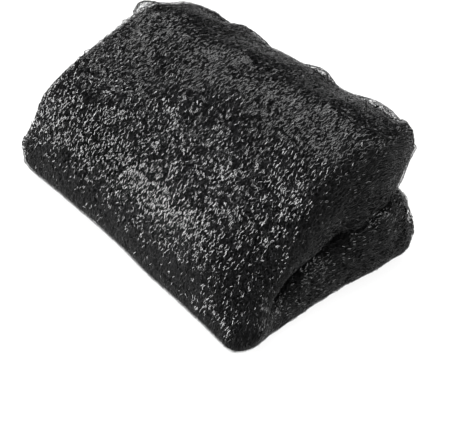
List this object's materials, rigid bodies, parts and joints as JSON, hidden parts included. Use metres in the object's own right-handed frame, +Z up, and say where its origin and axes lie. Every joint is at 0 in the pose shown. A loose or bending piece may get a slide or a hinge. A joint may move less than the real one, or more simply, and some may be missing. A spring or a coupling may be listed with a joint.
{
  "type": "folded shade cloth",
  "caption": "Black knitted shade cloth, folded to and fro into a strip and bent in half into a soft two-lobed pack that lies flat.",
  "frame": {"origin": "centre of the bounding box at the surface that the pack lies on", "axes": "+X along the pack to its round closed end, +Y from the front bend to the open back, +Z up"},
  "size_m": [0.3248, 0.2361, 0.1732],
  "materials": {
    "black_net": "knitted flat plastic tape, satin"
  },
  "bodies": {
    "root": {"folded_cloth": "black_net"}
  },
  "joints": []
}
